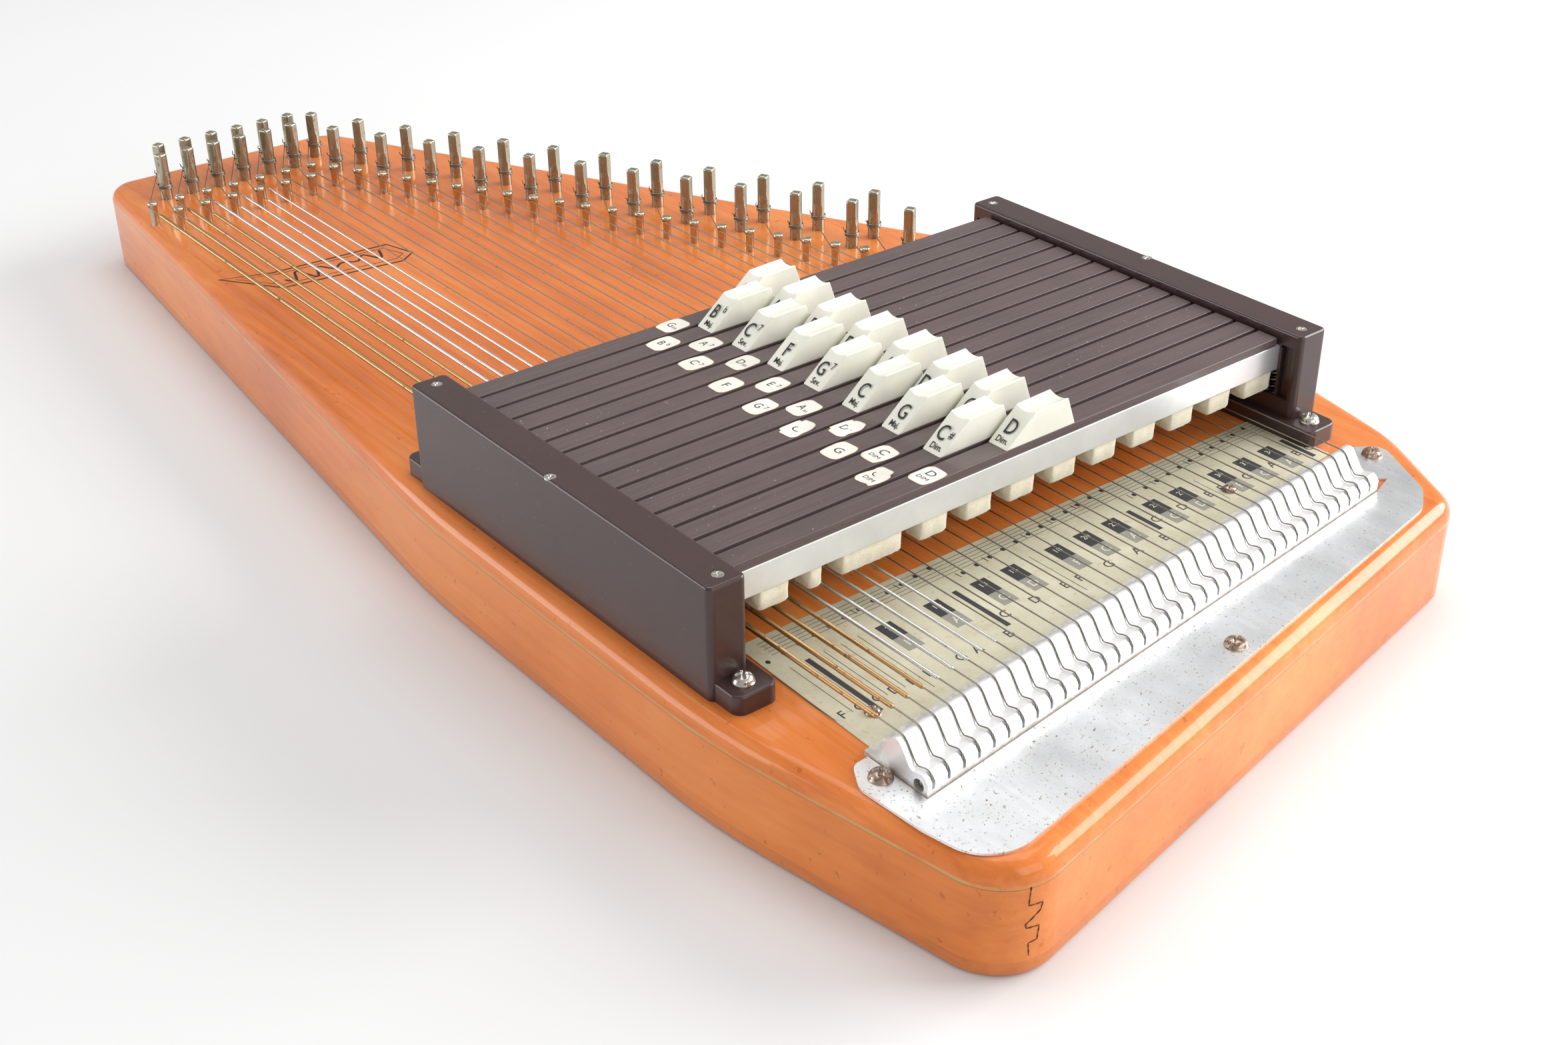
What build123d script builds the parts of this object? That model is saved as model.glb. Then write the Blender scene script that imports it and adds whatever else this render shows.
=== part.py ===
from build123d import *
import os
from math import atan2, cos, hypot, sin

# Chorded zither with 15 chord bars and 36 strings.
# +X runs from the tuning pins to the string anchor, +Y from bass to treble,
# +Z up from the back.  All lengths are in millimetres.

# ---- sound box ----
SOUNDBOARD_TOP = 35.0
SOUNDBOARD_THICK = 6.5
BACK_THICK = 5.0
RIM_ROUND = 5.5
BACK_ROUND = 2.0
RAIL_WIDE = 12.0
PIN_END_X = -289.0
PIN_BLOCK_X = -211.0
PIN_BLOCK_DEEP = 67.0
PIN_BLOCK_END_X = 28.0
TAIL_BLOCK_DEEP = 62.0
SLANT_SLOPE = 0.4976
SLANT_FOOT = (8.0, 145.0)
TAIL_SLOPE = -0.19
TAIL_FOOT = (288.3, -108.0)
FINGER_Y = -119.0
FINGER_SHIFT = 4.0
FINGERS = 4
SOUND_HOLE = (104.0, -6.0)
SOUND_HOLE_R = 27.0
BRACE_X = (30.0, 190.0)
BRACE_WIDE = 10.0
BRACE_TALL = 14.0

# ---- strings ----
STRINGS = 36
STRING_STEP = 5.9
FIRST_STRING_Y = -119.5
WOUND_STRINGS = 9
PLAIN_R = 0.22
THICKEST_R = 0.85
CREST_STRING_Z = 47.3
GUIDE_STRING_Z = 42.5

# ---- anchor and its cover plate ----
ANCHOR_SLOPE = -0.1182
CREST_X = 241.0
VALLEY_X = 247.4
RIDGE_X = 252.6
SLOT_WIDE = 1.2
BALL_BORE_R = 1.9
PLATE_THICK = 0.8

# ---- tuning pins and guide pins ----
PIN_R = 2.5
PIN_FIT = 0.03
PIN_FOOT_Z = 12.0
PIN_TOP_Z = 55.0
HEAD_SQUARE = 4.0
HEAD_Z = 45.0
COIL_Z = 40.6
COIL_TURNS = 3
COIL_WIRE_R = 0.3
GUIDE_R = 1.3
GUIDE_TOP_Z = 44.5
GUIDE_FOOT_Z = 20.0
GUIDE_GAP = 0.3

# ---- chord bars ----
BARS = 15
BAR_PITCH = 9.2
FIRST_GAP_X = 41.0
BAR_WIDE = 8.0
TOP_WIDE = 7.7
BAR_LOW_Z = 56.3
BAR_HIGH_Z = 65.3
BAR_TOP_Z = 68.2
BAR_WALL = 1.0
BAR_ENDS = (-134.6, 109.4)
TOP_ENDS = (-125.3, 99.5)
FELT_LOW_Z = 49.5
FELT_ENDS = (-124.8, 99.0)
FELT_WIDE = 6.8
NOTCH_WIDE = 7.4
BUTTON_LONG = 28.7
BUTTON_WIDE = 8.0
BUTTON_LIP = (11.4, 9.2)
BUTTON_RIDGE = (25.2, 9.6)
SCOOP_R = 7.4
SCOOP_DEEP = 1.0
FRONT_ROW_Y = -41.0
BACK_ROW_Y = -23.2

# ---- bar holders ----
HOLDER_X = (33.0, 187.0)
FOOT_X = (22.0, 197.0)
FOOT_TOP_Z = 41.0
SEAM_Z = 64.5
CAP_TOP_Z = 70.8
CAP_ROOF = 5.0
HOLDER_DEEP = 12.7
HOLDER_WALL = 3.3
END_WALL = 3.0
COMB_THICK = 0.9
COMB_DEEP = 9.0
SPRING_R = 2.4
SPRING_WIRE_R = 0.3
SPRING_TURNS = 6

NOTE_NAMES = ["C", "C#", "D", "D#", "E", "F", "F#", "G", "G#", "A", "A#", "B"]
LOW_NOTES = ["F", "G", "C", "D", "E", "F", "F#", "G"]
MAJOR = (0, 4, 7)
MINOR = (0, 3, 7)
SEVENTH = (0, 4, 7, 10)
DIMINISHED = (0, 3, 6, 9)
CHORDS = [
    ("G", MINOR, "back"),
    ("A#", MAJOR, "front"),
    ("A", SEVENTH, "back"),
    ("C", SEVENTH, "front"),
    ("D", MINOR, "back"),
    ("F", MAJOR, "front"),
    ("E", SEVENTH, "back"),
    ("G", SEVENTH, "front"),
    ("A", MINOR, "back"),
    ("C", MAJOR, "front"),
    ("D", SEVENTH, "back"),
    ("G", MAJOR, "front"),
    ("C", DIMINISHED, "back"),
    ("C#", DIMINISHED, "front"),
    ("D", DIMINISHED, "back"),
]

RAIL_LOW_Z = BACK_THICK
RAIL_HIGH_Z = SOUNDBOARD_TOP - SOUNDBOARD_THICK


def between(x_range, y_range, z_range):
    """A box given by its two limits on each axis."""
    size = [high - low for low, high in (x_range, y_range, z_range)]
    middle = [(high + low) / 2 for low, high in (x_range, y_range, z_range)]
    return Pos(*middle) * Box(*size)


def upright(x, y, low, high, radius):
    """A vertical cylinder between two heights."""
    return Pos(x, y, (low + high) / 2) * Cylinder(radius, high - low)


def rounded_face(corners):
    """A face from (x, y, corner radius) rows taken in order round its edge."""
    face = make_face(Polyline([(x, y) for x, y, _ in corners], close=True))
    for x, y, radius in corners:
        corner = min(face.vertices(), key=lambda v: hypot(v.X - x, v.Y - y))
        face = fillet(corner, radius)
    return face


def body_face():
    """Plan outline of the sound box."""
    return rounded_face([
        (PIN_END_X, -2.8, 14),
        (PIN_END_X, -109.9, 12),
        (45, -145, 400),
        (194, -145, 250),
        (292.1, -128.2, 18),
        (247.5, 108, 14),
        (208, 129.5, 60),
        (140, 145, 150),
        (8, 145, 45),
    ])


def slab(face, low, high):
    """A plan face raised between two heights."""
    return extrude(Pos(0, 0, low) * face, high - low)


def slant_band():
    """Plan area of the pin block: behind the short end and along the slanted edge."""
    run = 1 / hypot(1, SLANT_SLOPE)
    drop = PIN_BLOCK_DEEP / run
    x0, y0 = SLANT_FOOT
    inner_y = y0 - drop + SLANT_SLOPE * (PIN_BLOCK_X - x0)
    end_y = y0 - drop + SLANT_SLOPE * (PIN_BLOCK_END_X - x0)
    edge = [
        (PIN_END_X - 20, -160),
        (PIN_BLOCK_X, -160),
        (PIN_BLOCK_X, inner_y),
        (PIN_BLOCK_END_X, end_y),
        (PIN_BLOCK_END_X, 170),
        (PIN_END_X - 20, 170),
    ]
    return make_face(Polyline(edge, close=True))


def tail_band():
    """Plan area of the tail block, a strip beside the tail edge."""
    run = 1 / hypot(1, TAIL_SLOPE)
    shift = TAIL_BLOCK_DEEP / run
    x0, y0 = TAIL_FOOT

    def edge_x(y):
        return x0 + TAIL_SLOPE * (y - y0)

    edge = [
        (edge_x(-170) - shift, -170),
        (edge_x(-170) + 30, -170),
        (edge_x(160) + 30, 160),
        (edge_x(160) - shift, 160),
    ]
    return make_face(Polyline(edge, close=True))


def anchor_x(x, y):
    """Shift an x measured at the first string along the slanted anchor."""
    return x + ANCHOR_SLOPE * (y - FIRST_STRING_Y)


def string_y(index):
    """Y of a string where it leaves the anchor."""
    return FIRST_STRING_Y + STRING_STEP * index


def guide_points():
    """Guide pin centres in string order."""
    points = []
    for index in range(13):
        step = index // 2
        if index % 2 == 0:
            points.append((-231.0, -111.7 + 12.05 * step))
        else:
            points.append((-219.0, -105.7 + 12.0 * step))
    for step in range(STRINGS - 13):
        points.append((-222.9 + 10.75 * step, -33.0 + 5.82 * step))
    return points


def pin_points():
    """Tuning pin centres in string order."""
    points = []
    for step in range(6):
        points.append((-267.1, -91.6 + 12.05 * step))
        points.append((-255.1, -96.0 + 12.05 * step))
    for step in range(12):
        points.append((-261.6 + 21.0 * step, -22.4 + 11.85 * step))
        points.append((-239.1 + 21.05 * step, -23.7 + 11.83 * step))
    return points


def string_radius(index):
    """Outer radius of a string, thickest in the bass."""
    if index < WOUND_STRINGS:
        share = index / WOUND_STRINGS
        return THICKEST_R - share * (THICKEST_R - 0.4)
    return PLAIN_R


def bar_x(bar):
    """Centre of a chord bar, counted from 0 at the pin side."""
    return FIRST_GAP_X + BAR_PITCH * (bar + 0.5)


def string_height(x, index):
    """Height of a string's centre line at a given x."""
    start = anchor_x(CREST_X, string_y(index))
    end = guide_points()[index][0]
    return CREST_STRING_Z + (GUIDE_STRING_Z - CREST_STRING_Z) * (start - x) / (start - end)


def string_side(x, index):
    """Y of a string's centre line at a given x."""
    y0 = string_y(index)
    start = anchor_x(CREST_X, y0)
    gx, gy = guide_points()[index]
    y1 = gy - GUIDE_R - PLAIN_R - GUIDE_GAP
    return y0 + (y1 - y0) * (start - x) / (start - gx)


def notes():
    """Note of every string: a few bass notes, then every semitone from A up."""
    names = list(LOW_NOTES)
    start = NOTE_NAMES.index("A")
    for step in range(STRINGS - len(names)):
        names.append(NOTE_NAMES[(start + step) % 12])
    return names


# ---- screws, guide pins and where they stand ----
GUIDES = guide_points()
PINS = pin_points()
PLATE_SCREWS = [(240.4, -125.4), (257.6, -9.7), (213.0, 110.2)]
CARD_SCREWS = [(217.5, -108.1), (198.5, 57.1)]
BASS_HOLDER_Y = -138.5
TREBLE_HOLDER_Y = 113.4
FOOT_SCREW_X = (29.4, 190.6)
CAP_SCREW_X = (38.0, 110.0, 182.0)
HOLDER_SIDES = [(BASS_HOLDER_Y, 1), (TREBLE_HOLDER_Y, -1)]


def foot_screw_points():
    """Holder foot screws, two in each foot."""
    return [(x, y + side * 8.0) for y, side in HOLDER_SIDES for x in FOOT_SCREW_X]


def cap_screw_points():
    """Cap screws: the middle one stands nearer the outer wall."""
    points = []
    for y, side in HOLDER_SIDES:
        for x in CAP_SCREW_X:
            inward = 1.7 if x == CAP_SCREW_X[1] else 6.8
            points.append((x, y + side * inward))
    return points


def round_screw(x, y, seat, head_r, shank_r, length):
    """A round-head wood screw standing on a seat height, with a cross recess."""
    head = Pos(x, y, seat) * Sphere(head_r)
    head = head & between((x - 9, x + 9), (y - 9, y + 9), (seat, seat + head_r * 0.72))
    recess_z = (seat + head_r * 0.35, seat + head_r)
    for long_x, long_y in ((0.5, 0.13), (0.13, 0.5)):
        rx = head_r * long_x
        ry = head_r * long_y
        head -= between((x - rx, x + rx), (y - ry, y + ry), recess_z)
    return head + upright(x, y, seat - length, seat + head_r * 0.2, shank_r)


def soundboard():
    """Plywood top with its rounded rim, sound hole, pin and screw holes."""
    board = slab(body_face(), RAIL_HIGH_Z, SOUNDBOARD_TOP)
    board = fillet(board.faces().sort_by(Axis.Z)[-1].edges(), RIM_ROUND)
    holes = [upright(*SOUND_HOLE, 20, 40, SOUND_HOLE_R)]
    holes += [upright(x, y, 20, 40, PIN_R + PIN_FIT) for x, y in PINS]
    holes += [upright(x, y, 20, 40, GUIDE_R) for x, y in GUIDES]
    holes += [upright(x, y, 20, 40, 1.5) for x, y in PLATE_SCREWS + foot_screw_points()]
    holes += [upright(x, y, 20, 40, 1.0) for x, y in CARD_SCREWS]
    return board - holes


def back_board():
    """Flat back with a softened lower edge."""
    board = slab(body_face(), 0, BACK_THICK)
    return fillet(board.faces().sort_by(Axis.Z)[0].edges(), BACK_ROUND)


def frame_pieces():
    """Pin block, tail block, bass rail, treble rail and two braces."""
    full = body_face()
    inner = offset(full, -RAIL_WIDE)
    pin_face = full & slant_band()
    bass_strip = full & (Pos(0, -100) * Rectangle(800, 200))
    tail_face = full & tail_band()
    heights = (RAIL_LOW_Z, RAIL_HIGH_Z)

    pin_block = slab(pin_face, *heights)
    pin_block -= [upright(x, y, PIN_FOOT_Z - 0.5, 40, PIN_R + PIN_FIT) for x, y in PINS]
    pin_block -= [upright(x, y, GUIDE_FOOT_Z, 40, GUIDE_R) for x, y in GUIDES]

    tail_block = slab(tail_face & inner, *heights)
    finger_tall = (RAIL_HIGH_Z - RAIL_LOW_Z) / FINGERS
    for finger in range(FINGERS):
        low = RAIL_LOW_Z + finger * finger_tall
        start = FINGER_Y + (FINGER_SHIFT if finger % 2 == 0 else 0)
        keep = between((150, 320), (start, 200), (low, low + finger_tall))
        tail_block += slab(tail_face, low, low + finger_tall) & keep

    ring = slab(full - inner, *heights) - pin_block - tail_block
    bass_rail = ring & slab(bass_strip, *heights)
    treble_rail = ring - bass_rail
    rails = [piece.solids().sort_by(SortBy.VOLUME)[-1] for piece in (bass_rail, treble_rail)]

    braces = []
    for x in BRACE_X:
        half = BRACE_WIDE / 2
        strip = between((x - half, x + half), (-160, 160), (RAIL_HIGH_Z - BRACE_TALL, RAIL_HIGH_Z))
        brace = (strip & slab(inner, *heights)) - pin_block - tail_block
        braces.append(brace.solids().sort_by(SortBy.VOLUME)[-1])
    pieces = [pin_block, tail_block] + rails + braces
    holes = [upright(x, y, 20, 40, 1.5) for x, y in foot_screw_points() + PLATE_SCREWS]
    holes += [upright(x, y, 20, 40, 1.0) for x, y in CARD_SCREWS]
    return [piece - holes for piece in pieces]


def string_anchor():
    """Aluminium anchor: flat band, ramp, valley and slotted ridge over a ball bore."""
    low = SOUNDBOARD_TOP
    start_y = FIRST_STRING_Y - 2.2
    outline = Polyline([(CREST_X + 2.2, 46.1), (VALLEY_X - 0.6, 41.0), (VALLEY_X + 0.4, 40.6),
                        (RIDGE_X - 1.2, 41.4), (RIDGE_X, 40.8), (RIDGE_X + 1.0, 39.4),
                        (RIDGE_X + 1.0, low), (229.5, low), (229.5, low + 1.5), (235.5, low + 1.6)])
    ramp = Spline([(235.5, low + 1.6), (CREST_X - 2.2, 45.4), (CREST_X, 46.9), (CREST_X + 2.2, 46.1)])
    profile = make_face(Plane.XZ * outline + Plane.XZ * ramp)
    run = string_y(STRINGS - 1) + 5.0 - start_y
    direction = Vector(ANCHOR_SLOPE, 1, 0)
    start = (anchor_x(0, start_y), start_y, 0)
    body = Pos(*start) * extrude(profile, amount=run * direction.length, dir=direction)
    bore_at = Plane(origin=(anchor_x(250.2, start_y - 5), start_y - 5, 37.6), z_dir=direction)
    body -= extrude(bore_at * Circle(BALL_BORE_R), (run + 10) * direction.length)
    slots = []
    for index in range(STRINGS):
        y = string_y(index)
        x = anchor_x(RIDGE_X, y)
        half = SLOT_WIDE / 2
        slots.append(between((x - 1.6, x + 2), (y - half, y + half), (37.2, 42.5)))
    return body - slots


def cover_plate():
    """Thin plate over the tail, cut out round the anchor."""
    face = rounded_face([
        (231.5, -120.5, 1),
        (232.0, -127.5, 4),
        (240.0, -132.4, 6),
        (262.0, -131.2, 40),
        (284.4, -127.0, 14),
        (244.6, 94.0, 14),
        (237.0, 104.5, 12),
        (211.5, 118.0, 5),
        (204.5, 108.0, 3),
    ])
    plate = slab(face, SOUNDBOARD_TOP, SOUNDBOARD_TOP + PLATE_THICK)
    y0 = FIRST_STRING_Y - 2.6
    y1 = string_y(STRINGS - 1) + 5.4
    front = RIDGE_X + 1.4
    seat = [(anchor_x(226.0, y0), y0), (anchor_x(front, y0), y0),
            (anchor_x(front, y1), y1), (anchor_x(226.0, y1), y1)]
    gap = [(218.0, y1 - 1), (anchor_x(front, y1), y1 - 1), (226.0, y1 + 8.5)]
    plate -= slab(make_face(Polyline(seat, close=True)), 30, 40)
    plate -= slab(make_face(Polyline(gap, close=True)), 30, 40)
    return plate - [upright(x, y, 30, 40, 1.5) for x, y in PLATE_SCREWS]


def strings():
    """One wire per course, with a thicker wound length on the bass strings."""
    wires = []
    for index in range(STRINGS):
        y = string_y(index)
        gx, gy = GUIDES[index]
        px, py = PINS[index]
        side = gy - GUIDE_R - PLAIN_R - GUIDE_GAP
        away = PIN_R + 2 * COIL_WIRE_R + PLAIN_R + 0.1
        angle = atan2(py - side, px - gx)
        end = (px + away * sin(angle), py - away * cos(angle))
        if end[1] > py:
            end = (px - away * sin(angle), py + away * cos(angle))
        path = [
            (anchor_x(RIDGE_X + 0.1, y), y, 38.2),
            (anchor_x(RIDGE_X + 0.1, y), y, 41.4),
            (anchor_x(RIDGE_X - 1.6, y), y, 41.9),
            (anchor_x(VALLEY_X, y), y, 41.15),
            (anchor_x(CREST_X + 2.2, y), y, 46.75),
            (anchor_x(CREST_X, y), y, CREST_STRING_Z),
            (gx, side, GUIDE_STRING_Z),
            (end[0], end[1], COIL_Z),
        ]
        section = Plane(origin=path[0], z_dir=(0, 0, 1)) * Circle(PLAIN_R)
        wire = sweep(section, path=Polyline(path), transition=Transition.RIGHT)
        if index < WOUND_STRINGS:
            first = 232.0 - 0.7 * index
            head = Vector(first, string_side(first, index), string_height(first, index))
            last = gx + 12.0
            tail = Vector(last, string_side(last, index), string_height(last, index))
            cover = Plane(origin=head, z_dir=tail - head) * Circle(string_radius(index))
            wire += extrude(cover, (tail - head).length)
        wires.append(wire)
    return wires


def tuning_pin(index):
    """Tuning pin with a tapered square head, and the coil of wire wound on it."""
    x, y = PINS[index]
    pin = upright(x, y, PIN_FOOT_Z, PIN_TOP_Z, PIN_R)
    pin = chamfer(pin.edges().sort_by(Axis.Z)[0], 0.8)
    pin = fillet(pin.edges().sort_by(Axis.Z)[-1], 1.2)
    half = HEAD_SQUARE / 2
    for angle in (0, 90, 180, 270):
        flat = Pos(half + 1.0, 0, 0) * Box(2.0, 8, PIN_TOP_Z - HEAD_Z + 1)
        flat = Pos(x, y, (PIN_TOP_Z + HEAD_Z + 1) / 2) * Rot(0, 0, angle + 27) * flat
        pin -= flat
    circles = Sketch()
    for turn in range(COIL_TURNS):
        z = COIL_Z + (turn - (COIL_TURNS - 1) / 2) * COIL_WIRE_R * 1.7
        circles += Pos(PIN_R + COIL_WIRE_R, z) * Circle(COIL_WIRE_R)
    coil = Pos(x, y, 0) * revolve(Plane.XZ * circles, Axis.Z)
    return [pin, coil]


def chord_bar(bar):
    """Aluminium bar, brown top strip, finger button and its felt pads.

    The strings of the chord run through the gaps between the pads.
    """
    name, steps, row = CHORDS[bar]
    x = bar_x(bar)
    root = NOTE_NAMES.index(name)
    chord = [NOTE_NAMES[(root + step) % 12] for step in steps]

    half = BAR_WIDE / 2
    tube = between((x - half, x + half), BAR_ENDS, (BAR_LOW_Z, BAR_HIGH_Z))
    core = half - BAR_WALL
    heights = (BAR_LOW_Z + BAR_WALL, BAR_HIGH_Z - BAR_WALL)
    tube -= between((x - core, x + core), (-200, 200), heights)

    half = TOP_WIDE / 2
    top = between((x - half, x + half), TOP_ENDS, (BAR_HIGH_Z, BAR_TOP_Z))
    top = chamfer(top.faces().sort_by(Axis.Z)[-1].edges().filter_by(Axis.Y), 0.3)

    edges = [FELT_ENDS[0]]
    for index, note in enumerate(notes()):
        if note in chord:
            y = string_side(x, index)
            edges += [y - NOTCH_WIDE / 2, y + NOTCH_WIDE / 2]
    edges.append(FELT_ENDS[1])
    half = FELT_WIDE / 2
    pads = []
    for near, far in zip(edges[::2], edges[1::2]):
        if far - near > 1.0:
            pads.append(between((x - half, x + half), (near, far), (FELT_LOW_Z, BAR_LOW_Z)))

    start = BACK_ROW_Y if row == "back" else FRONT_ROW_Y
    return [tube, top, button(x, start)] + pads


def button(x, start):
    """Wedge-shaped finger button: a sloping label face and a top hollowed along its length."""
    low = BAR_TOP_Z
    lip = Vector(x, start + BUTTON_LIP[0], low + BUTTON_LIP[1])
    ridge = Vector(x, start + BUTTON_RIDGE[0], low + BUTTON_RIDGE[1])
    outline = [(start, low), (lip.Y, lip.Z), (ridge.Y, ridge.Z), (start + BUTTON_LONG, low)]
    profile = make_face(Plane.YZ * Polyline(outline, close=True))
    wedge = Pos(x - BUTTON_WIDE / 2, 0, 0) * extrude(profile, BUTTON_WIDE, dir=(1, 0, 0))
    middle = (lip + ridge) / 2 + Vector(0, 0, SCOOP_R - SCOOP_DEEP)
    return wedge - Plane(origin=middle, z_dir=ridge - lip) * Cylinder(SCOOP_R, 60)


def holder_base(y, side):
    """Comb base with a foot flange; side points from its outer wall to the bars."""
    def span(near, far):
        return tuple(sorted((y + side * near, y + side * far)))

    foot = between(FOOT_X, span(1.2, 15.6), (SOUNDBOARD_TOP, FOOT_TOP_Z))
    foot = fillet(foot.edges().filter_by(Axis.Z), 3.5)
    foot = fillet(foot.faces().sort_by(Axis.Z)[-1].edges(), 0.8)
    shell = between(HOLDER_X, span(0, HOLDER_DEEP), (SOUNDBOARD_TOP, SEAM_Z))
    shell = fillet(shell.edges().filter_by(Axis.Z), 2.0)
    inside_x = (HOLDER_X[0] + END_WALL, HOLDER_X[1] - END_WALL)
    shell -= between(inside_x, span(HOLDER_WALL, HOLDER_DEEP + 5), (FOOT_TOP_Z, SEAM_Z + 5))
    base = shell + foot
    for gap in range(BARS + 1):
        x = FIRST_GAP_X + BAR_PITCH * gap
        half = COMB_THICK / 2
        base += between((x - half, x + half), span(HOLDER_WALL, HOLDER_WALL + COMB_DEEP),
                        (FOOT_TOP_Z, SEAM_Z))
    for x in (CAP_SCREW_X[0], CAP_SCREW_X[-1]):
        base += between((x - 2.4, x + 2.4), span(HOLDER_WALL, 10.5), (FOOT_TOP_Z, SEAM_Z))
    base += between(inside_x, span(HOLDER_DEEP - 1.6, HOLDER_DEEP), (FOOT_TOP_Z, FOOT_TOP_Z + 6))
    holes = [upright(px, py, 30, 50, 1.5) for px, py in foot_screw_points()]
    holes += [upright(px, py, SEAM_Z - 8, SEAM_Z + 1, 1.0) for px, py in cap_screw_points()]
    return base - holes


def holder_cap(y, side):
    """Cap over the bar ends, resting on the base along the seam."""
    def span(near, far):
        return tuple(sorted((y + side * near, y + side * far)))

    cap = between(HOLDER_X, span(0, HOLDER_DEEP), (SEAM_Z, CAP_TOP_Z))
    cap = fillet(cap.edges().filter_by(Axis.Z), 2.0)
    cap = fillet(cap.faces().sort_by(Axis.Z)[-1].edges(), 1.0)
    inside_x = (HOLDER_X[0] + END_WALL, HOLDER_X[1] - END_WALL)
    cap -= between(inside_x, span(HOLDER_WALL, HOLDER_DEEP + 5), (SEAM_Z - 1, CAP_TOP_Z - CAP_ROOF))
    for x in (CAP_SCREW_X[0], CAP_SCREW_X[-1]):
        cap += between((x - 2.4, x + 2.4), span(HOLDER_WALL, 10.5), (SEAM_Z, CAP_TOP_Z - CAP_ROOF))
    for px, py in cap_screw_points():
        cap -= upright(px, py, 60, 80, 1.0)
        cap -= upright(px, py, CAP_TOP_Z - 0.9, 80, 1.9)
    return cap


def cap_screw(x, y):
    """Flat-head screw, flush with the cap."""
    screw = upright(x, y, CAP_TOP_Z - 0.9, CAP_TOP_Z - 0.05, 1.9)
    screw += upright(x, y, SEAM_Z - 8, CAP_TOP_Z - 0.9, 1.0)
    for rx, ry in ((1.2, 0.25), (0.25, 1.2)):
        screw -= between((x - rx, x + rx), (y - ry, y + ry), (CAP_TOP_Z - 0.6, CAP_TOP_Z))
    return screw


def guide_pin(x, y):
    """Round-headed guide pin beside its string."""
    pin = upright(x, y, GUIDE_FOOT_Z, GUIDE_TOP_Z - 1.2, GUIDE_R)
    head = upright(x, y, GUIDE_TOP_Z - 1.2, GUIDE_TOP_Z, GUIDE_R + 0.7)
    head = fillet(head.edges().sort_by(Axis.Z)[-1], 1.0)
    return pin + head


def hardware():
    """Guide pins and every screw, each a separate solid."""
    pieces = [guide_pin(x, y) for x, y in GUIDES]
    seat = SOUNDBOARD_TOP + PLATE_THICK
    pieces += [round_screw(x, y, seat, 3.4, 1.5, 12) for x, y in PLATE_SCREWS]
    pieces += [round_screw(x, y, SOUNDBOARD_TOP + 0.3, 2.4, 1.0, 10) for x, y in CARD_SCREWS]
    pieces += [round_screw(x, y, FOOT_TOP_Z, 3.3, 1.5, 18) for x, y in foot_screw_points()]
    pieces += [cap_screw(x, y) for x, y in cap_screw_points()]
    return pieces


def bar_springs():
    """Two return springs under every chord bar."""
    tall = BAR_LOW_Z - FOOT_TOP_Z - 2 * SPRING_WIRE_R - 0.1
    path = Helix(pitch=tall / SPRING_TURNS, height=tall, radius=SPRING_R)
    section = Plane(origin=path @ 0, z_dir=path % 0) * Circle(SPRING_WIRE_R)
    coil = sweep(section, path=path, is_frenet=True)
    springs = []
    for y, side in HOLDER_SIDES:
        for bar in range(BARS):
            z = FOOT_TOP_Z + SPRING_WIRE_R + 0.05
            springs.append(Pos(bar_x(bar), y + side * 7.2, z) * coil)
    return springs


def save(name, pieces):
    """Write one STEP file holding the separate solids of one node."""
    solids = [solid for piece in pieces for solid in piece.solids()]
    export_step(Compound(children=solids, label=name), f"parts/{name}.step")


def main():
    os.makedirs("parts", exist_ok=True)
    save("soundboard", [soundboard()])
    save("back_board", [back_board()])
    save("frame_rails", frame_pieces())
    save("string_anchor", [string_anchor()])
    save("cover_plate", [cover_plate()])
    save("strings", strings())
    save("hardware", hardware())
    holders = [holder_base(y, side) for y, side in HOLDER_SIDES]
    holders += [holder_cap(y, side) for y, side in HOLDER_SIDES]
    save("bar_holders", holders)
    save("bar_springs", bar_springs())
    for bar in range(BARS):
        save(f"chord_bar_{bar + 1:02d}", chord_bar(bar))
    for index in range(STRINGS):
        save(f"tuning_pin_{index + 1:02d}", tuning_pin(index))


main()
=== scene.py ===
import random
from math import atan2, cos, pi, radians, sin, sqrt

import bpy
from mathutils import Matrix, Vector


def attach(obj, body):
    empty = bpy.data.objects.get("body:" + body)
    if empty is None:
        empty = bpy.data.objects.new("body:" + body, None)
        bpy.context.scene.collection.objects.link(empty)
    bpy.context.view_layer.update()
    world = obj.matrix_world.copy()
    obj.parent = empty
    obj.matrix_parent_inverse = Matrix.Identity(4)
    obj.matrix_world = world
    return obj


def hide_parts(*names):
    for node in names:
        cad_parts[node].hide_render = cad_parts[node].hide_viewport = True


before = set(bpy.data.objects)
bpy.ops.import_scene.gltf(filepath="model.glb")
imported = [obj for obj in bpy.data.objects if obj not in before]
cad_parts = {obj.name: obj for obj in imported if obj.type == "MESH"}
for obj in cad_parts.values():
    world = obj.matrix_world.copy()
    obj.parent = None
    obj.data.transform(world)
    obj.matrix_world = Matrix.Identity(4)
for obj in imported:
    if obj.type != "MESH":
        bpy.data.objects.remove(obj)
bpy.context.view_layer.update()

MM = 0.001
draw = random.Random(15)

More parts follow.
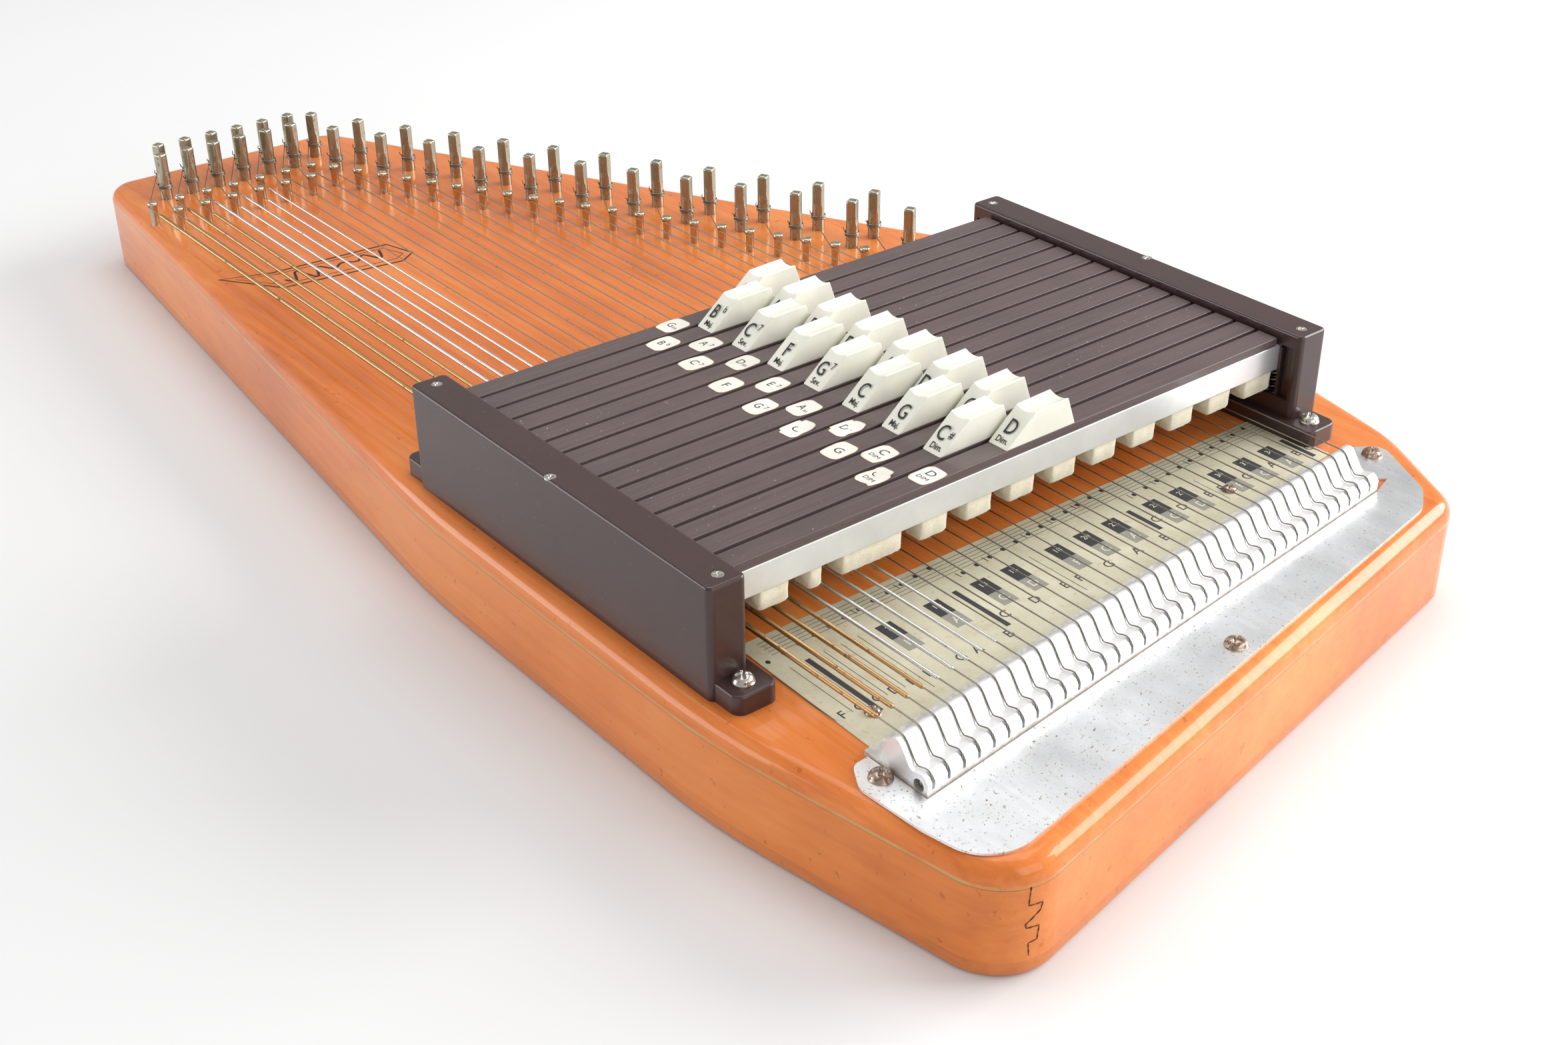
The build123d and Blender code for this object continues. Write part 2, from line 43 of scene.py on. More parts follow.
# ---- sizes shared with the CAD, in millimetres ----
BOARD_TOP = 35.0
STRINGS = 36
WOUND = 9
FIRST_STRING_Y = -119.5
STRING_PITCH = 5.9
PLAIN_R = 0.22
ANCHOR_SLANT = 0.1182
CREST_X = 241.0
CREST_Z = 47.3
STRING_FALL = 4.8
VALLEY_X = 247.4
RIDGE_X = 252.6
GUIDE_R = 1.3
PIN_R = 2.5
COIL_Z = 40.6
COIL_WIRE = 0.27
BALL_R = 1.45
BARS = 15
FIRST_BAR_EDGE = 41.0
BAR_PITCH = 9.2
BAR_HALF = 4.0
BAR_LOW, BAR_HIGH, BAR_TOP = 56.3, 65.3, 68.2
TUBE_ENDS = (-134.6, 109.4)
STRIP_ENDS = (-125.3, 99.5)
FELT_LOW = 49.5
FELT_ENDS = (-124.8, 99.0)
HAIR_REACH = 3.9
NOTCH = 7.4
GUIDE_GAP = 0.3
LIP = (11.4, 9.2)
RIDGE = (25.2, 9.6)
BUTTON_LONG = 28.7
SCOOP_R = 7.4
SCOOP_DEEP = 1.0
BUTTON_START = (-23.2, -41.0)  # even bars carry the back row, odd bars the front row
NOTE_NAMES = ["C", "C#", "D", "D#", "E", "F", "F#", "G", "G#", "A", "A#", "B"]
LOW_NOTES = ["F", "G", "C", "D", "E", "F", "F#", "G"]
STEPS = {"Maj.": (0, 4, 7), "Min.": (0, 3, 7), "Sev.": (0, 4, 7, 10), "Dim.": (0, 3, 6, 9)}
# chord root, kind, letters on the button, letters on the sticker
CHORDS = [
    ("G", "Min.", "G", "Gm"),
    ("A#", "Maj.", "B♭", "B♭"),
    ("A", "Sev.", "A7", "A7"),
    ("C", "Sev.", "C7", "C7"),
    ("D", "Min.", "D", "Dm"),
    ("F", "Maj.", "F", "F"),
    ("E", "Sev.", "E7", "E7"),
    ("G", "Sev.", "G7", "G7"),
    ("A", "Min.", "A", "Am"),
    ("C", "Maj.", "C", "C"),
    ("D", "Sev.", "D7", "D7"),
    ("G", "Maj.", "G", "G"),
    ("C", "Dim.", "C", "C"),
    ("C#", "Dim.", "C♯", "C♯"),
    ("D", "Dim.", "D", "D"),
]


def string_y(index):
    return FIRST_STRING_Y + STRING_PITCH * index


def anchor_x(x, y):
    """The x of a line on the slanted anchor, given its x at the first string."""
    return x - ANCHOR_SLANT * (y - FIRST_STRING_Y)


def bar_x(bar):
    return FIRST_BAR_EDGE + BAR_PITCH * (bar + 0.5)


def guide_points():
    points = []
    for index in range(13):
        step = index // 2
        if index % 2 == 0:
            points.append((-231.0, -111.7 + 12.05 * step))
        else:
            points.append((-219.0, -105.7 + 12.0 * step))
    for step in range(STRINGS - 13):
        points.append((-222.9 + 10.75 * step, -33.0 + 5.82 * step))
    return points


def pin_points():
    points = []
    for step in range(6):
        points.append((-267.1, -91.6 + 12.05 * step))
        points.append((-255.1, -96.0 + 12.05 * step))
    for step in range(12):
        points.append((-261.6 + 21.0 * step, -22.4 + 11.85 * step))
        points.append((-239.1 + 21.05 * step, -23.7 + 11.83 * step))
    return points


GUIDES = guide_points()
PINS = pin_points()


def string_point(x, index):
    """A string's centre line between the anchor crest and its guide pin."""
    y0 = string_y(index)
    start = anchor_x(CREST_X, y0)
    gx, gy = GUIDES[index]
    share = (start - x) / (start - gx)
    y1 = gy - GUIDE_R - PLAIN_R - GUIDE_GAP
    return Vector((x, y0 + (y1 - y0) * share, CREST_Z - STRING_FALL * share))


def notes():
    names = list(LOW_NOTES)
    first = NOTE_NAMES.index("A")
    for step in range(STRINGS - len(names)):
        names.append(NOTE_NAMES[(first + step) % 12])
    return names


# ------------------------------------------------------------------ materials


class Look:
    """A procedural material. Textures use object coordinates in metres."""

    def __init__(self, name, **fixed):
        self.material = bpy.data.materials.new(name)
        self.material.use_nodes = True
        self.tree = self.material.node_tree
        self.skin = self.tree.nodes["Principled BSDF"]
        for socket, value in fixed.items():
            self.skin.inputs[socket.replace("_", " ")].default_value = value
        self.place = self.node("ShaderNodeTexCoord").outputs["Object"]

    def node(self, kind, wires=None, **settings):
        made = self.tree.nodes.new(kind)
        for key, value in settings.items():
            setattr(made, key, value)
        for key, value in (wires or {}).items():
            self.wire(made.inputs[key], value)
        return made

    def wire(self, socket, value):
        if isinstance(value, bpy.types.NodeSocket):
            self.tree.links.new(value, socket)
        else:
            socket.default_value = value

    def out(self, **sockets):
        for name, value in sockets.items():
            self.wire(self.skin.inputs[name.replace("_", " ")], value)
        return self.material

    def noise(self, scale, detail=4.0, rough=0.6, stretch=(1, 1, 1), shift=(0, 0, 0), warp=0.0):
        moved = self.node("ShaderNodeMapping", {"Vector": self.place, "Scale": stretch, "Location": shift})
        wires = {"Vector": moved.outputs[0], "Scale": scale, "Detail": detail, "Roughness": rough,
                 "Distortion": warp}
        return self.node("ShaderNodeTexNoise", wires).outputs["Fac"]

    def ramp(self, fac, *stops):
        made = self.node("ShaderNodeValToRGB", {"Fac": fac})
        marks = made.color_ramp.elements
        while len(marks) < len(stops):
            marks.new(0.5)
        for mark, (at, colour) in zip(marks, stops):
            mark.position = at
            tint = colour if isinstance(colour, tuple) else (colour,) * 3
            mark.color = (*tint, 1.0)
        return made.outputs["Color"]

    def level(self, fac, low, high):
        """0 below low, 1 above high."""
        wires = {"Value": fac, "From Min": low, "From Max": high}
        return self.node("ShaderNodeMapRange", wires, clamp=True).outputs["Result"]

    def mix(self, fac, first, second):
        made = self.node("ShaderNodeMix", data_type="RGBA")
        self.wire(made.inputs["Factor"], fac)
        for socket, value in ((made.inputs[6], first), (made.inputs[7], second)):
            self.wire(socket, (*value, 1.0) if isinstance(value, tuple) else value)
        return made.outputs[2]

    def sum(self, operation, first, second=0.0):
        return self.node("ShaderNodeMath", {0: first, 1: second}, operation=operation).outputs[0]

    def axis(self, letter):
        return self.node("ShaderNodeSeparateXYZ", {"Vector": self.place}).outputs[letter]

    def band(self, letter, middle, half, soft):
        """1 within half of middle along an axis, in millimetres."""
        away = self.sum("ABSOLUTE", self.sum("SUBTRACT", self.axis(letter), middle * MM))
        return self.sum("SUBTRACT", 1.0, self.level(away, half * MM, (half + soft) * MM))

    def bump(self, height, strength=0.3, deep=0.1):
        wires = {"Height": height, "Strength": strength, "Distance": deep * MM}
        return self.node("ShaderNodeBump", wires).outputs["Normal"]


def wood(name, deep, middle, light, grain=(14, 300, 300), lines=0.35, seam=False):
    """Lacquered wood: grain, pores and cloudy stain, under a clear coat."""
    look = Look(name, Coat_Weight=0.75, Coat_Roughness=0.1, Coat_IOR=1.4, Specular_IOR_Level=0.15)
    figure = look.noise(1.0, 5, 0.62, grain, warp=0.6)
    pores = look.noise(1.0, 3, 0.8, (grain[0] * 4, grain[1] * 6, grain[2] * 6))
    cloud = look.noise(9.0, 4, 0.65, (0.7, 1.6, 1.6))
    shade = look.sum("ADD", look.sum("MULTIPLY", figure, lines), look.sum("MULTIPLY", cloud, 1 - lines))
    colour = look.ramp(shade, (0.30, deep), (0.5, middle), (0.70, light))
    dark = look.level(pores, 0.34, 0.2)
    colour = look.mix(look.sum("MULTIPLY", dark, 0.45), colour, tuple(c * 0.45 for c in deep))
    flecks = look.level(look.noise(330, 2, 0.5), 0.69, 0.74)
    colour = look.mix(look.sum("MULTIPLY", flecks, 0.4), colour, tuple(c * 0.5 for c in deep))
    if seam:
        wear = look.level(look.noise(60, 4, 0.7), 0.44, 0.6)
        line = look.sum("MULTIPLY", look.band("Z", 28.5, 0.5, 0.3),
                        look.sum("ADD", 0.35, look.sum("MULTIPLY", wear, 0.6)))
        colour = look.mix(line, colour, (0.62, 0.35, 0.12))
        dirt = look.band("Z", 28.05, 0.08, 0.12)
        colour = look.mix(look.sum("MULTIPLY", dirt, 0.55), colour, (0.16, 0.05, 0.015))
    height = look.sum("ADD", pores, look.sum("MULTIPLY", figure, 0.6))
    rough = look.ramp(cloud, (0.3, 0.32), (0.7, 0.46))
    return look.out(Base_Color=colour, Roughness=rough, Normal=look.bump(height, 0.12, 0.12))


def metal(name, tint, rough, brushed=None, spots=None, stain=(0.3, 0.2, 0.12), share=0.0, solid=1.0):
    """Bare or plated metal with fine scratches and an optional speckle of tarnish."""
    look = Look(name, Metallic=solid)
    scratch = look.noise(1.0, 6, 0.7, brushed or (900, 900, 900))
    cloud = look.noise(45, 4, 0.6)
    colour = look.ramp(cloud, (0.3, tuple(c * 0.86 for c in tint)), (0.7, tint))
    roughness = look.sum("ADD", look.sum("MULTIPLY", scratch, 0.16), look.sum("MULTIPLY", cloud, 0.12))
    roughness = look.sum("ADD", roughness, rough - 0.14)
    sockets = {}
    if spots:
        mark = look.level(look.noise(spots, 3, 0.75), 0.60 - share, 0.66 - share)
        colour = look.mix(mark, colour, stain)
        roughness = look.sum("ADD", roughness, look.sum("MULTIPLY", mark, 0.35))
        sockets["Metallic"] = look.sum("SUBTRACT", solid, look.sum("MULTIPLY", mark, 0.8 * solid))
    return look.out(Base_Color=colour, Roughness=roughness, Normal=look.bump(scratch, 0.08, 0.03), **sockets)


def plastic(name, tint, rough=0.3, dust=0.4, grain=None, coat=0.3, wear=(0.5, 0.45, 0.42)):
    """Moulded plastic with faint orange peel, scuffs and dust."""
    look = Look(name, Coat_Weight=coat, Coat_Roughness=0.12, IOR=1.5)
    cloud = look.noise(35, 4, 0.6)
    colour = look.ramp(cloud, (0.3, tuple(c * 0.82 for c in tint)), (0.7, tint))
    specks = look.level(look.noise(900, 2, 0.6), 0.70, 0.76)
    patches = look.level(look.noise(22, 4, 0.6, shift=(3, 1, 2)), 0.45, 0.7)
    scuffs = look.level(look.noise(1.0, 4, 0.7, (1400, 60, 300)), 0.68, 0.76)
    dirt = look.sum("MULTIPLY", look.sum("MAXIMUM", specks, look.sum("MULTIPLY", scuffs, 0.4)),
                    look.sum("MULTIPLY", look.sum("ADD", patches, 0.25), dust))
    colour = look.mix(dirt, colour, wear)
    fine = look.noise(1.0, 4, 0.7, grain) if grain else look.noise(1500, 3, 0.6)
    if grain:
        streak = look.level(fine, 0.4, 0.75)
        pale = tuple(min(1, c * 2.2 + 0.03) for c in tint)
        colour = look.mix(look.sum("MULTIPLY", streak, 0.22), colour, pale)
    roughness = look.sum("ADD", rough, look.sum("MULTIPLY", dirt, 0.4))
    strength = 0.35 if grain else 0.06
    return look.out(Base_Color=colour, Roughness=roughness, Normal=look.bump(fine, strength, 0.05))


def anchor_look():
    """Bright extruded aluminium, scuffed, with painted shade darkening and dulling its low flat lip in
    patches.
    """
    look = Look("anchor_aluminium")
    scratch = look.noise(1.0, 6, 0.7, (260, 900, 900))
    cloud = look.noise(60, 5, 0.65)
    colour = look.ramp(cloud, (0.3, (0.80, 0.80, 0.79)), (0.65, (0.93, 0.93, 0.93)))
    scuff = look.level(look.noise(1.0, 4, 0.75, (1500, 260, 900)), 0.60, 0.72)
    colour = look.mix(look.sum("MULTIPLY", scuff, 0.5), colour, (0.45, 0.44, 0.42))
    # Painted shade: the low flat lip below about 37 mm is mixed towards a darker brownish grey and made less
    # metallic, in noisy patches.
    lip = look.sum("SUBTRACT", 1.0, look.level(look.axis("Z"), 36.7 * MM, 37.4 * MM))
    painted_lip_shade = look.sum("MULTIPLY", lip, look.level(look.noise(300, 4, 0.7), 0.25, 0.6))
    colour = look.mix(look.sum("MULTIPLY", painted_lip_shade, 0.75), colour, (0.40, 0.36, 0.29))
    rough = look.sum("ADD", 0.34, look.sum("MULTIPLY", scratch, 0.22))
    shine = look.sum("SUBTRACT", 0.62, look.sum("MULTIPLY", painted_lip_shade, 0.5))
    return look.out(Base_Color=colour, Roughness=rough, Metallic=shine, Normal=look.bump(scratch, 0.1, 0.04))


def gap_look():
    """Dark crumbly glue in an open joint."""
    look = Look("joint_gap", Roughness=0.85)
    crumbs = look.noise(600, 4, 0.7)
    return look.out(Base_Color=look.ramp(crumbs, (0.35, (0.05, 0.016, 0.006)), (0.7, (0.26, 0.10, 0.03))),
                    Normal=look.bump(crumbs, 0.4, 0.05))


def felt_look():
    """Cream wool felt with pale fibres."""
    look = Look("felt_cream", Sheen_Weight=0.6, Sheen_Roughness=0.5, Roughness=0.95)
    fibres = look.noise(2600, 4, 0.8)
    cloud = look.noise(160, 4, 0.6)
    colour = look.ramp(cloud, (0.3, (0.66, 0.56, 0.38)), (0.7, (0.86, 0.80, 0.62)))
    colour = look.mix(look.level(fibres, 0.4, 0.7), colour, (0.90, 0.86, 0.70))
    return look.out(Base_Color=colour, Normal=look.bump(fibres, 0.8, 0.15))


def paper_look(name, shade, light, stained, share):
    """Old paper: yellowed, blotched and a little fibrous."""
    look = Look(name, Roughness=0.6, Coat_Weight=0.15, Coat_Roughness=0.3)
    cloud = look.noise(70, 5, 0.65)
    stain = look.level(look.noise(120, 5, 0.7, shift=(5, 2, 0)), 0.56, 0.76)
    speck = look.level(look.noise(420, 3, 0.6, shift=(1, 7, 0)), 0.62, 0.68)
    colour = look.ramp(cloud, (0.3, shade), (0.7, light))
    colour = look.mix(look.sum("MULTIPLY", look.sum("MAXIMUM", stain, speck), share), colour, stained)
    fibres = look.noise(1300, 3, 0.7)
    return look.out(Base_Color=colour, Normal=look.bump(fibres, 0.15, 0.05))


def ink_look(name, tint, worn=0.62):
    """Printed ink, rubbed through in fine specks."""
    look = Look(name, Roughness=0.6)
    rub = look.level(look.noise(700, 5, 0.75), worn, worn + 0.08)
    colour = look.mix(rub, tint, (0.55, 0.52, 0.40))
    return look.out(Base_Color=colour, Normal=look.bump(rub, 0.2, 0.02))


LOOKS = {
    "top_wood": wood("soundboard_maple", (0.52, 0.115, 0.018), (0.74, 0.205, 0.040),
                     (0.88, 0.32, 0.085), seam=True),
    "side_wood": wood("rail_maple", (0.56, 0.13, 0.020), (0.76, 0.225, 0.044),
                      (0.88, 0.33, 0.088), (10, 240, 420), 0.22, seam=True),
    "back_wood": wood("back_maple", (0.50, 0.13, 0.026), (0.66, 0.20, 0.05), (0.76, 0.27, 0.08)),
    "anchor": anchor_look(),
    "plate": metal("plate_chrome", (0.95, 0.96, 0.97), 0.38, (40, 500, 500), 900, (0.26, 0.17, 0.10), -0.005),
    "screws": metal("screw_nickel", (0.72, 0.69, 0.63), 0.26, None, 420, (0.24, 0.13, 0.07), 0.03),
    "rusty": metal("screw_rusty", (0.50, 0.40, 0.33), 0.36, None, 700, (0.20, 0.10, 0.055), 0.1),
    "guides": metal("guide_pin_nickel", (0.60, 0.54, 0.41), 0.24, None, 500, (0.35, 0.24, 0.13), -0.01),
    "pin": metal("pin_steel", (0.46, 0.43, 0.33), 0.3, (700, 700, 120), 380, (0.26, 0.17, 0.09), 0.02),
    "wire": metal("string_steel", (0.26, 0.235, 0.20), 0.3, None, 600, (0.30, 0.22, 0.14), -0.04),
    "coil": metal("coil_steel", (0.36, 0.32, 0.27), 0.34, None, 800, (0.20, 0.12, 0.06), 0.03),
    "bronze": metal("winding_bronze", (0.58, 0.38, 0.18), 0.3, None, 300, (0.28, 0.13, 0.05), 0.0),
    "silver": metal("winding_silver", (0.78, 0.78, 0.77), 0.24, None, 300, (0.4, 0.36, 0.3), -0.04),
    "holder": plastic("holder_brown_plastic", (0.056, 0.027, 0.025), 0.3, 0.5,
                      coat=0.25, wear=(0.36, 0.30, 0.27)),
    "bar_metal": metal("bar_aluminium", (0.96, 0.965, 0.97), 0.36, (900, 22, 900), solid=0.72),
    "strip": plastic("bar_top_brown", (0.105, 0.072, 0.070), 0.38, 0.8, (1500, 16, 1500), 0.15,
                     (0.55, 0.51, 0.47)),
    "button": plastic("button_ivory", (0.97, 0.95, 0.83), 0.28, 0.2, None, 0.5, (0.62, 0.48, 0.26)),
    "spring": metal("spring_steel", (0.6, 0.6, 0.6), 0.3),
    "felt": felt_look(),
    "gap": gap_look(),
    "card": paper_look("note_card_paper", (0.56, 0.52, 0.37), (0.70, 0.67, 0.51), (0.50, 0.36, 0.18), 0.5),
    "ink": ink_look("print_black", (0.035, 0.036, 0.04), 0.66),
    "grey_ink": ink_look("print_grey", (0.30, 0.29, 0.25), 0.6),
    "white_ink": ink_look("print_pale", (0.72, 0.70, 0.58), 0.75),
    "label": ink_look("button_letters", (0.02, 0.022, 0.025), 0.8),
    "sticker": paper_look("sticker_paper", (0.72, 0.69, 0.61), (0.86, 0.84, 0.78),
                          (0.55, 0.38, 0.18), 0.25),
    "sticker_edge": paper_look("sticker_browned", (0.40, 0.24, 0.10), (0.60, 0.46, 0.28),
                               (0.25, 0.12, 0.04), 0.6),
    "ornament": ink_look("ornament_ink", (0.035, 0.014, 0.009), 0.85),
}

# ------------------------------------------------------------------ mesh tools


class Shape:
    """Collects faces in millimetres and becomes one object that rides on a body."""

    def __init__(self):
        self.points, self.faces, self.marks, self.soft = [], [], [], []

    def add(self, points, faces, mark=0, soft=True):
        base = len(self.points)
        self.points += [tuple(p) for p in points]
        for face in faces:
            self.faces.append([base + i for i in face])
            self.marks.append(mark)
            self.soft.append(soft)

    def loft(self, rings, mark=0, soft=True, capped=True, closed=False):
        """Quads between rings of equal length; closed joins the last ring to the first."""
        size = len(rings[0])
        points = [p for ring in rings for p in ring]
        faces = []
        turns = len(rings) if closed else len(rings) - 1
        for r in range(turns):
            a, b = r * size, (r + 1) % len(rings) * size
            for i in range(size):
                j = (i + 1) % size
                faces.append((a + i, a + j, b + j, b + i))
        if capped and not closed:
            faces.append(tuple(reversed(range(size))))
            faces.append(tuple(range(len(points) - size, len(points))))
        self.add(points, faces, mark, soft)

    def lathe(self, x, y, profile, sides=24, mark=0, shape=None):
        """A turned form from (radius, z) rows; shape changes the radius with the angle."""
        rings = []
        for radius, z in profile:
            ring = []
            for i in range(sides):
                angle = 2 * pi * i / sides
                r = shape(angle, radius, z) if shape else radius
                ring.append((x + r * cos(angle), y + r * sin(angle), z))
            rings.append(ring)
        self.loft(rings, mark)

    def tube(self, path, radius, sides=8, mark=0):
        """A round wire along a path; radius is a number or a function of the point's number."""
        path = [Vector(p) for p in path]
        side = None
        rings = []
        for i, point in enumerate(path):
            ahead = path[min(i + 1, len(path) - 1)] - path[max(i - 1, 0)]
            ahead.normalize()
            if side is None:
                side = ahead.cross(Vector((0, 0, 1)))
                if side.length < 0.01:
                    side = ahead.cross(Vector((0, 1, 0)))
            side = (side - ahead * side.dot(ahead)).normalized()
            rise = ahead.cross(side)
            r = radius(i) if callable(radius) else radius
            ring = []
            for k in range(sides):
                angle = 2 * pi * k / sides
                ring.append(point + (side * cos(angle) + rise * sin(angle)) * r)
            rings.append(ring)
        self.loft(rings, mark)

    def prism(self, outline, low, high, mark=0, soft=False):
        """A flat outline raised between two heights."""
        self.loft([[(x, y, low) for x, y in outline], [(x, y, high) for x, y in outline]], mark, soft)

    def make(self, name, body, materials, replaces=(), slot=None, bevel=0.0, steps=2, angle=35):
        mesh = bpy.data.meshes.new(name)
        mesh.from_pydata([Vector(p) * MM for p in self.points], [], self.faces)
        mesh.polygons.foreach_set("material_index", self.marks)
        mesh.polygons.foreach_set("use_smooth", self.soft)
        mesh.validate()
        mesh.update()
        return place(name, mesh, body, materials, replaces, bevel, steps, angle)


def place(name, data, body, materials, replaces=(), bevel=0.0, steps=2, angle=35):
    """Link an object, give it its materials and edge rounding, and let it ride."""
    obj = bpy.data.objects.new(name, data)
    bpy.context.scene.collection.objects.link(obj)
    for key in materials:
        data.materials.append(LOOKS[key])
    if bevel:
        edge = obj.modifiers.new("edges", "BEVEL")
        edge.width = bevel * MM
        edge.segments = steps
        edge.limit_method = "ANGLE"
        edge.angle_limit = radians(angle)
        edge.harden_normals = True
        data.polygons.foreach_set("use_smooth", [True] * len(data.polygons))
    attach(obj, body)
    if replaces:
        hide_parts(*replaces)
    return obj


def dress(node, key):
    """A new material on a CAD node that stays."""
    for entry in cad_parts[node].material_slots:
        entry.link = "OBJECT"
        entry.material = LOOKS[key]


def lettering(text, size, origin, across, up, lift=0.02, squeeze=1.0, bold=0.0):
    """Flat letters: points in millimetres and faces, on the plane of across and up."""
    curve = bpy.data.curves.new("letters", "FONT")
    curve.body = text
    curve.size = size
    curve.align_x = "CENTER"
    curve.offset = bold
    curve.extrude = lift / 2
    curve.resolution_u = 3
    holder = bpy.data.objects.new("letters", curve)
    bpy.context.scene.collection.objects.link(holder)
    bpy.context.view_layer.update()
    mesh = bpy.data.meshes.new_from_object(holder)
    across, up = Vector(across).normalized(), Vector(up).normalized()
    out = across.cross(up)
    origin = Vector(origin)
    points = [origin + across * v.co.x * squeeze + up * v.co.y + out * (v.co.z + lift)
              for v in mesh.vertices]
    faces = [tuple(p.vertices) for p in mesh.polygons]
    bpy.data.objects.remove(holder)
    bpy.data.curves.remove(curve)
    bpy.data.meshes.remove(mesh)
    return points, faces


def smooth_path(points, steps):
    """Points of a Catmull-Rom curve through the given ones."""
    points = [Vector(p) for p in points]
    ends = [points[0] * 2 - points[1]] + points + [points[-1] * 2 - points[-2]]
    path = []
    for i in range(1, len(ends) - 2):
        a, b, c, d = ends[i - 1:i + 3]
        for step in range(steps):
            t = step / steps
            path.append(((b * 2) + (c - a) * t + (a * 2 - b * 5 + c * 4 - d) * t * t
                         + (b * 3 - a - c * 3 + d) * t ** 3) / 2)
    path.append(points[-1])
    return path


# ------------------------------------------------------------------ camera and light

camera_data = bpy.data.cameras.new("camera")
camera_data.lens = 46.055
camera_data.sensor_width = 36.0
camera = bpy.data.objects.new("camera", camera_data)
bpy.context.scene.collection.objects.link(camera)
ahead = Vector((-0.67370, 0.53802, -0.50663)).normalized()
right = Vector((0.62659, 0.77933, -0.00561)).normalized()
top = right.cross(ahead)
turn = Matrix((right, top, -ahead)).transposed().to_4x4()
camera.matrix_world = Matrix.Translation(Vector((540.78, -395.95, 347.84)) * MM) @ turn
camera_data.clip_start = 0.01
bpy.context.scene.camera = camera


def soft_light(name, spot, target, size, power, tint=(1, 1, 1)):
    data = bpy.data.lights.new(name, "AREA")
    data.shape = "RECTANGLE"
    data.size, data.size_y = size
    data.energy = power
    data.color = tint
    light = bpy.data.objects.new(name, data)
    bpy.context.scene.collection.objects.link(light)
    light.location = spot
    light.rotation_euler = (Vector(target) - Vector(spot)).to_track_quat("-Z", "Y").to_euler()


soft_light("key", (0.72, 1.45, 0.78), (0.15, 0, 0), (1.3, 0.9), 34)
soft_light("right_fill", (1.6, 0.1, 0.8), (0.1, 0, 0), (1.0, 1.0), 7)
soft_light("left_fill", (-1.2, -1.5, 0.5), (0, 0, 0), (1.5, 0.8), 15)
soft_light("top", (-0.35, 0.25, 1.75), (0, 0, 0), (1.6, 1.2), 14)

world = bpy.data.worlds.new("studio")
bpy.context.scene.world = world
world.use_nodes = True
world.node_tree.nodes["Background"].inputs["Color"].default_value = (1, 1, 1, 1)
world.node_tree.nodes["Background"].inputs["Strength"].default_value = 0.44
bpy.context.scene.view_settings.view_transform = "Standard"

floor_mesh = bpy.data.meshes.new("floor")
FLOOR_HALF = 6.0
floor_corners = [(FLOOR_HALF * x, FLOOR_HALF * y, 0) for x, y in ((-1, -1), (1, -1), (1, 1), (-1, 1))]
floor_mesh.from_pydata(floor_corners, [], [(0, 1, 2, 3)])
ground = bpy.data.objects.new("floor", floor_mesh)
bpy.context.scene.collection.objects.link(ground)
paper = Look("studio_paper", Roughness=0.7)
floor_mesh.materials.append(paper.out(Base_Color=paper.ramp(paper.noise(2, 2), (0.3, 0.76), (0.7, 0.78))))

# ------------------------------------------------------------------ sound box

dress("soundboard", "top_wood")
dress("back_board", "back_wood")
dress("frame_rails", "side_wood")
dress("string_anchor", "anchor")
dress("cover_plate", "plate")
dress("bar_holders", "holder")
dress("bar_springs", "spring")

# ------------------------------------------------------------------ strings


def string_radius(index):
    """The wound strings get thinner from the bass side; the rest are plain wire."""
    if index < WOUND:
        return 0.85 - index / WOUND * 0.45
    return PLAIN_R


def coil_side(index):
    """Unit vector from a tuning pin to where its string meets the coil."""
    gx, gy = GUIDES[index]
    px, py = PINS[index]
    angle = atan2(py - (gy - GUIDE_R - PLAIN_R), px - gx)
    out = Vector((sin(angle), -cos(angle), 0))
    return out if out.y < 0 else -out


def string(index):
    """One string from its ball over the anchor, along the bars and round to its tuning pin."""
    shape = Shape()
    y = string_y(index)
    gx, gy = GUIDES[index]
    px, py = PINS[index]
    guide = string_point(gx, index)
    hook = smooth_path([
        (anchor_x(RIDGE_X + 0.1, y), y, 38.4),
        (anchor_x(RIDGE_X + 0.1, y), y, 40.2),
        (anchor_x(RIDGE_X - 0.3, y), y, 41.5),
        (anchor_x(RIDGE_X - 1.8, y), y, 41.85),
        (anchor_x(VALLEY_X + 1.4, y), y, 41.35),
        (anchor_x(VALLEY_X, y), y, 41.2),
        (anchor_x(VALLEY_X - 1.6, y), y, 42.9),
        (anchor_x(CREST_X + 2.4, y), y, 46.2),
        (anchor_x(CREST_X + 1.0, y), y, 47.15),
        (anchor_x(CREST_X, y), y, CREST_Z),
    ], 4)
    last = Vector((px, py, COIL_Z)) + coil_side(index) * (PIN_R + COIL_WIRE)
    bend = smooth_path([guide + Vector((2.0, 0, 0.02)), guide, guide + (last - guide) * 0.12, last], 3)
    shape.tube(hook + [string_point(anchor_x(CREST_X, y) - 6, index)] + bend, PLAIN_R, 8)
    rise = Vector((anchor_x(250.2, y), y, 37.6))
    ball = [(BALL_R * sin(pi * k / 8), rise.z - BALL_R * cos(pi * k / 8)) for k in range(9)]
    shape.lathe(rise.x, rise.y, [(max(r, 0.02), z) for r, z in ball], 14)
    materials = ["wire"]
    if index < WOUND:
        winding(shape, index, 0.48 - 0.028 * index)
        materials.append("bronze" if index < 4 else "silver")
    replaced = ["strings"] if index == 0 else ()
    shape.make(f"string_{index + 1:02d}", "instrument", materials, replaced, "string_wire")


